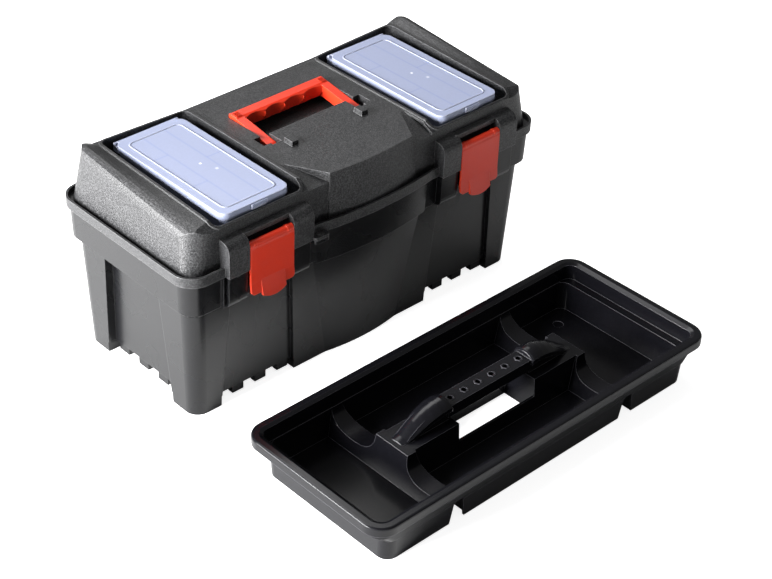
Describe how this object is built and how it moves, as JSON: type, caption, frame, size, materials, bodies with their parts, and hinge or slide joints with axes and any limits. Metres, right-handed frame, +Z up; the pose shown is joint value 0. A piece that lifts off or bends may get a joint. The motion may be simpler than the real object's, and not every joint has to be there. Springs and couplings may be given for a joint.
{
  "type": "toolbox with tray",
  "caption": "Moulded plastic toolbox with a hinged lid, latches, a fold-down carry handle, clear lift-out organisers and a lift-out tote tray standing in front.",
  "frame": {"origin": "middle of the base's underside, on the floor", "axes": "+X along the box to the right as seen from the latches, +Y from the latches to the rear hinges, +Z up"},
  "size_m": [0.5517, 0.5684, 0.2694],
  "materials": {
    "black_shell": "fine satin moulded texture",
    "black_tray": "smooth glossy moulding",
    "red_parts": "satin moulding",
    "clear_parts": "translucent, slightly frosted",
    "steel_pin": "drawn rod"
  },
  "bodies": {
    "base": {"base_shell": "black_shell", "hinge_pin_left": "steel_pin", "hinge_pin_right": "steel_pin"},
    "lid": {"lid_shell": "black_shell"},
    "handle": {"carry_handle": "red_parts"},
    "left_latch": {"latch_left": "red_parts"},
    "right_latch": {"latch_right": "red_parts"},
    "left_organiser": {"organiser_left_box": "clear_parts"},
    "left_organiser_lid": {"organiser_left_lid": "clear_parts"},
    "left_organiser_clip": {"organiser_left_clip": "clear_parts"},
    "right_organiser": {"organiser_right_box": "clear_parts"},
    "right_organiser_lid": {"organiser_right_lid": "clear_parts"},
    "right_organiser_clip": {"organiser_right_clip": "clear_parts"},
    "tray": {"tote_tray": "black_tray"}
  },
  "joints": [
    {"name": "lid_hinge", "type": "hinge", "parent": "base", "child": "lid", "pos_m": [0, 0.1302, 0.199], "axis": [-1, 0, 0], "range_deg": [0, 100]},
    {"name": "handle_fold", "type": "hinge", "parent": "lid", "child": "handle", "pos_m": [0, -0.012, 0.2475], "axis": [1, 0, 0], "range_deg": [0, 90]},
    {"name": "left_latch_hinge", "type": "hinge", "parent": "lid", "child": "left_latch", "pos_m": [-0.1626, -0.127, 0.2235], "axis": [-1, 0, 0], "range_deg": [0, 110]},
    {"name": "right_latch_hinge", "type": "hinge", "parent": "lid", "child": "right_latch", "pos_m": [0.1626, -0.127, 0.2235], "axis": [-1, 0, 0], "range_deg": [0, 110]},
    {"name": "left_organiser_lift", "type": "slide", "parent": "lid", "child": "left_organiser", "axis": [0, 0, 1], "range_m": [0, 0.08]},
    {"name": "left_organiser_lid_hinge", "type": "hinge", "parent": "left_organiser", "child": "left_organiser_lid", "pos_m": [-0.1645, 0.0945, 0.2576], "axis": [-1, 0, 0], "range_deg": [0, 100]},
    {"name": "left_organiser_clip_hinge", "type": "hinge", "parent": "left_organiser_lid", "child": "left_organiser_clip", "pos_m": [-0.1625, -0.1091, 0.2595], "axis": [-1, 0, 0], "range_deg": [0, 45]},
    {"name": "right_organiser_lift", "type": "slide", "parent": "lid", "child": "right_organiser", "axis": [0, 0, 1], "range_m": [0, 0.08]},
    {"name": "right_organiser_lid_hinge", "type": "hinge", "parent": "right_organiser", "child": "right_organiser_lid", "pos_m": [0.1645, 0.0945, 0.2576], "axis": [-1, 0, 0], "range_deg": [0, 100]},
    {"name": "right_organiser_clip_hinge", "type": "hinge", "parent": "right_organiser_lid", "child": "right_organiser_clip", "pos_m": [0.1665, -0.1091, 0.2595], "axis": [-1, 0, 0], "range_deg": [0, 45]},
    {"name": "tray_lift", "type": "slide", "parent": "base", "child": "tray", "axis": [0, 0, 1], "range_m": [0, 0.3]}
  ]
}
